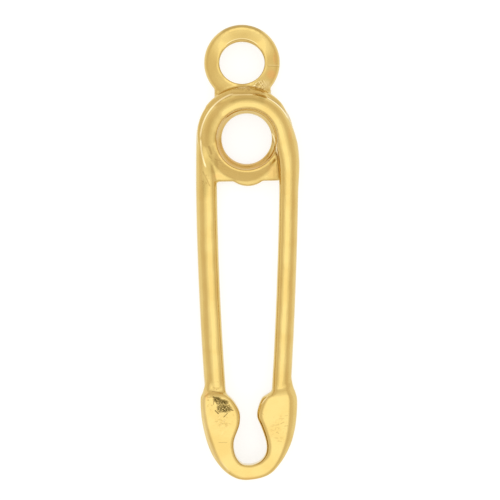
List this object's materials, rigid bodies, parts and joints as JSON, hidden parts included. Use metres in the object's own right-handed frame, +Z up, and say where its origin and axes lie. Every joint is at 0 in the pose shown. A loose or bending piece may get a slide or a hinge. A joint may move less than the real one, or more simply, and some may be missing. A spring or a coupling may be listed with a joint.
{
  "type": "safety pin charm",
  "caption": "Cast metal charm in the form of a closed safety pin, hung from a jewellery chain or jump ring by the eye above its coil.",
  "frame": {"origin": "on the surface that the charm lies on, under the middle of its box", "axes": "+X across the charm, +Y along it towards the hanging eye, +Z up out of its front face"},
  "size_m": [0.0056, 0.025, 0.002],
  "materials": {
    "polished_gold": "polished yellow gold plate with fine scratches"
  },
  "bodies": {
    "root": {"pin_charm": "polished_gold"}
  },
  "joints": []
}
